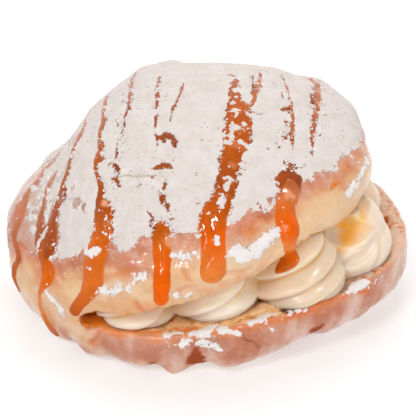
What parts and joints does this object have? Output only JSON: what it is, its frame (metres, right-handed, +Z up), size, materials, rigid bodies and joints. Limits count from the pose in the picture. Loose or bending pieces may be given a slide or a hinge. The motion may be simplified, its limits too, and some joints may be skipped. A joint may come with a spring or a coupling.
{
  "type": "cream-filled doughnut",
  "caption": "Split yeast doughnut standing open like a clam, filled with piped cream rosettes and dressed with glaze, powdered sugar and caramel.",
  "frame": {"origin": "middle of the bounding box in plan, on the ground under the flat base", "axes": "+X from the folded hinge side to the open side, +Y from the front with the slit to the back, +Z up"},
  "size_m": [0.1108, 0.0944, 0.0634],
  "materials": {
    "bun": "glazed, browned yeast crust with a pale waist and an open crumb at the cut",
    "cream": "smooth, soft whipped custard cream"
  },
  "bodies": {
    "root": {"bun": "bun", "cream": "cream"}
  },
  "joints": []
}
